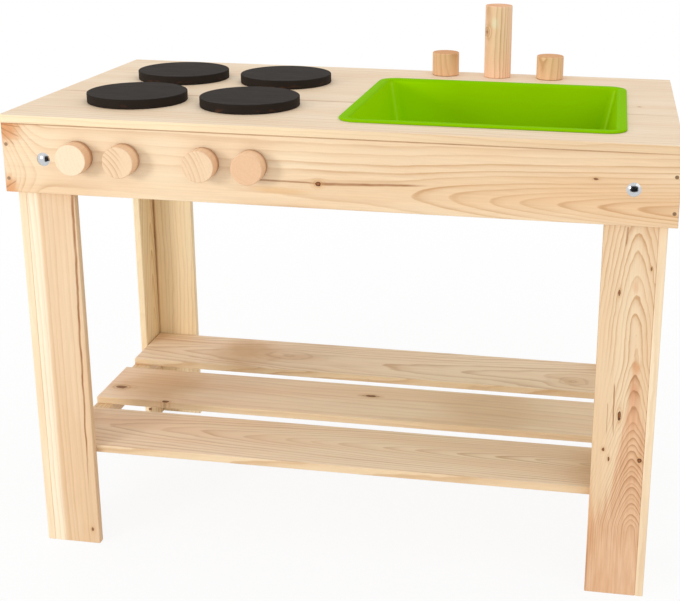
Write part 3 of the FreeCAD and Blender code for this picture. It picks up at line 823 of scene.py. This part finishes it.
def green_plastic(name, low, high):
    """Matt lime plastic, pressed in one piece: a faint cloudiness, a fine moulded skin, a deeper green rim,
    painted light at the left end, painted shade low down to the right, and painted highlights on its upright
    corners."""
    s = new_shade(name)
    place = s.place_mm((low + high) / 2)
    half = MM_PER_METRE * (high - low) / 2
    right, _, height = s.split(place)
    rim = s.smooth(height, *(half.z - below for below in SINK_RIM_BELOW_TOP_MM))
    # Painted light: the left end is painted brighter
    painted_light = s.smooth(right, *(half.x * share for share in SINK_PAINTED_LIGHT_RUN))
    # Painted shade: darker low down and towards the right end
    shade_to_the_right = s.smooth(right, *(half.x * share for share in SINK_SHADE_RUN))
    shade_to_the_floor = s.smooth(height, *(half.z * share for share in SINK_SHADE_FALL))
    facing = s.facing()
    # Painted highlight: pale lines where the surface turns round its upright corners
    corner = s.math("ABSOLUTE", s.times(facing[0], facing[1]))
    crease_highlight = s.smooth(corner, *SINK_CREASE_HIGHLIGHT_STEP)
    cloud = s.noise(place, SINK_CLOUD)
    scuff = s.smooth(s.noise(place, SINK_SCUFF), *SINK_SCUFF_STEP)
    green = s.mix(cloud, SINK_GREEN, SINK_CLOUD_GREEN)
    green = s.mix(painted_light, green, SINK_PAINTED_LIGHT_GREEN)
    green = s.mix(s.times(s.times(shade_to_the_floor, shade_to_the_right), SINK_PAINTED_SHADE_SHARE), green, SINK_PAINTED_SHADE_GREEN)
    green = s.mix(s.times(crease_highlight, SINK_CREASE_HIGHLIGHT_SHARE), green, SINK_CREASE_HIGHLIGHT_GREEN)
    green = s.mix(rim, green, SINK_RIM_GREEN)
    roughness = s.plus(s.spread(cloud, *SINK_ROUGHNESS), s.times(scuff, SINK_SCUFF_ROUGHNESS))
    normal = s.bump(s.noise(place, SINK_SKIN), *SINK_BUMP)
    return s.finish(green, roughness, normal, Specular_IOR_Level=SINK_GLOSS)


# Steel: polish is the roughness where the plating is dark and where it is light

METAL_WORDS = ("screw", "washer", "bolt", "nut", "nail")
ZINC_DARK = colour(190, 193, 196)
ZINC_LIGHT = colour(220, 222, 224)
ZINC_POLISH = (0.12, 0.24)
ZINC_METAL = 1.0
ZINC_SEED = 4.0
NAIL_DARK = colour(140, 110, 80)
NAIL_LIGHT = colour(176, 142, 106)
NAIL_POLISH = (0.4, 0.55)
NAIL_METAL = 0.3
NAIL_SEED = 9.0
STEEL_SPANGLE = Blobs((2.2, 2.2, 2.2), 3.0)
STEEL_SKIN = Blobs((0.6, 0.6, 0.6), 2.0, 1.0)
STEEL_BUMP = (0.06, 0.0003)


def plated_steel(name, dark, light, polish, metal, seed):
    """Plated steel with the plating's spangle."""
    s = new_shade(name)
    place = s.place_mm(Vector((0, 0, 0)))
    spangle = s.noise(place, STEEL_SPANGLE, seed)
    steel = s.mix(spangle, dark, light)
    normal = s.bump(s.noise(place, STEEL_SKIN, seed), *STEEL_BUMP)
    return s.finish(steel, s.spread(spangle, *polish), normal, Metallic=metal)


# Each node gets its finish


def dress(node, material):
    nodes[node].data.materials.clear()
    nodes[node].data.materials.append(material)


for number, (node, grain) in enumerate(BOARDS.items()):
    seed = BOARD_SEED_START + BOARD_SEED_STEP * number
    dress(node, pine("pine_" + node, *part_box(node), grain, seed))

for number, node in enumerate(DISC_NODES):
    seed = DISC_SEED_START + DISC_SEED_STEP * number
    dress(node, black_paint("black_paint_" + node, *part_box(node), seed))

dress("sink_tub", green_plastic("green_plastic", *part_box("sink_tub")))

zinc = plated_steel("zinc_steel", ZINC_DARK, ZINC_LIGHT, ZINC_POLISH, ZINC_METAL, ZINC_SEED)
for node in nodes:
    if any(word in node for word in METAL_WORDS):
        dress(node, zinc)
nail_steel = plated_steel("nail_steel", NAIL_DARK, NAIL_LIGHT, NAIL_POLISH, NAIL_METAL, NAIL_SEED)
dress("apron_nails", nail_steel)


# Studio

PAPER_WHITE = colour(244, 244, 244)
FLAG_BLACK = colour(40, 40, 42)


def white_to_the_eye(s):
    """1 for what the camera sees, straight or in a mirror or glass, 0 for light on the object."""
    path = s.add("ShaderNodeLightPath").outputs
    seen = s.math("MAXIMUM", path["Is Camera Ray"], path["Is Glossy Ray"])
    return s.math("MAXIMUM", seen, path["Is Transmission Ray"])


def build_floor():
    """A pale floor: it keeps the object's shadow near the object and is plain white further off."""
    bpy.ops.mesh.primitive_plane_add(size=2 * FLOOR_HALF, location=(0, 0, 0))
    floor = bpy.context.object
    floor.name = "floor"
    s = new_shade("floor_white")
    spot = s.split(s.add("ShaderNodeTexCoord").outputs["Object"])
    far = s.smooth(s.length(spot[0], spot[1]), *FLOOR_FADE)
    white_share = s.times(white_to_the_eye(s), s.spread(far, FLOOR_WHITE_NEAR, 1.0))
    paper = s.add("ShaderNodeBsdfDiffuse", {"Color": PAPER_WHITE})
    glow = s.add("ShaderNodeEmission", {"Color": WHITE, "Strength": 1.0})
    s.show(s.add("ShaderNodeMixShader", {0: white_share, 1: paper.outputs[0], 2: glow.outputs[0]}))
    floor.data.materials.append(s.owner)


def build_sky():
    """White to the eye, and an even fill light on the object."""
    world = bpy.data.worlds.new("studio")
    bpy.context.scene.world = world
    s = Shade(world)
    strength = s.spread(white_to_the_eye(s), SKY_STRENGTH, 1.0)
    sky = s.add("ShaderNodeBackground", {"Color": WHITE, "Strength": strength})
    s.show(sky, "ShaderNodeOutputWorld")


def build_flag(name, place, height):
    """A dark card beside the object that only mirrors show, so that the bolt heads read as metal."""
    bpy.ops.mesh.primitive_plane_add(size=1.0, location=place, rotation=(pi / 2, 0.0, 0.0))
    flag = bpy.context.object
    flag.name = name
    flag.scale = (FLAG_WIDTH, height, 1.0)
    flag.visible_camera = False
    flag.visible_diffuse = False
    flag.visible_transmission = False
    flag.visible_shadow = False
    s = new_shade(name + "_black")
    s.show(s.add("ShaderNodeBsdfDiffuse", {"Color": FLAG_BLACK}))
    flag.data.materials.append(s.owner)


def build_lamp(name, place, size, power):
    lamp = bpy.data.lights.new(name, "AREA")
    lamp.size = size
    lamp.energy = power
    stand = bpy.data.objects.new(name, lamp)
    bpy.context.scene.collection.objects.link(stand)
    stand.location = place
    stand.rotation_euler = (LIGHT_AIM - place).to_track_quat("-Z", "Y").to_euler()


def build_camera():
    """The camera of the photograph, with its lens shifted so that the uprights stay near upright."""
    data = bpy.data.cameras.new("camera")
    data.sensor_width = SENSOR_WIDTH
    data.lens = CAMERA_FOCAL * SENSOR_WIDTH / IMAGE_WIDTH
    data.shift_x = -PRINCIPAL_RIGHT / IMAGE_WIDTH
    data.shift_y = -PRINCIPAL_UP / IMAGE_WIDTH
    camera = bpy.data.objects.new("camera", data)
    bpy.context.scene.collection.objects.link(camera)
    level = cos(CAMERA_PITCH)
    forward = Vector((sin(CAMERA_YAW) * level, cos(CAMERA_YAW) * level, sin(CAMERA_PITCH)))
    right = Vector((cos(CAMERA_YAW), -sin(CAMERA_YAW), 0.0))
    up = right.cross(forward)
    rolled_right = cos(CAMERA_ROLL) * right + sin(CAMERA_ROLL) * up
    rolled_up = cos(CAMERA_ROLL) * up - sin(CAMERA_ROLL) * right
    turn = Matrix((rolled_right, rolled_up, -forward)).transposed().to_4x4()
    camera.matrix_world = Matrix.Translation(CAMERA_PLACE) @ turn
    bpy.context.scene.camera = camera


build_floor()
build_sky()
build_flag("front_flag", FRONT_FLAG_PLACE, FRONT_FLAG_HEIGHT)
build_flag("back_flag", BACK_FLAG_PLACE, BACK_FLAG_HEIGHT)
build_lamp("key_light", KEY_PLACE, KEY_SIZE, KEY_POWER)
build_lamp("fill_light", FILL_PLACE, FILL_SIZE, FILL_POWER)
build_lamp("top_light", TOP_PLACE, TOP_SIZE, TOP_POWER)
build_camera()
bpy.context.scene.view_settings.view_transform = "Standard"
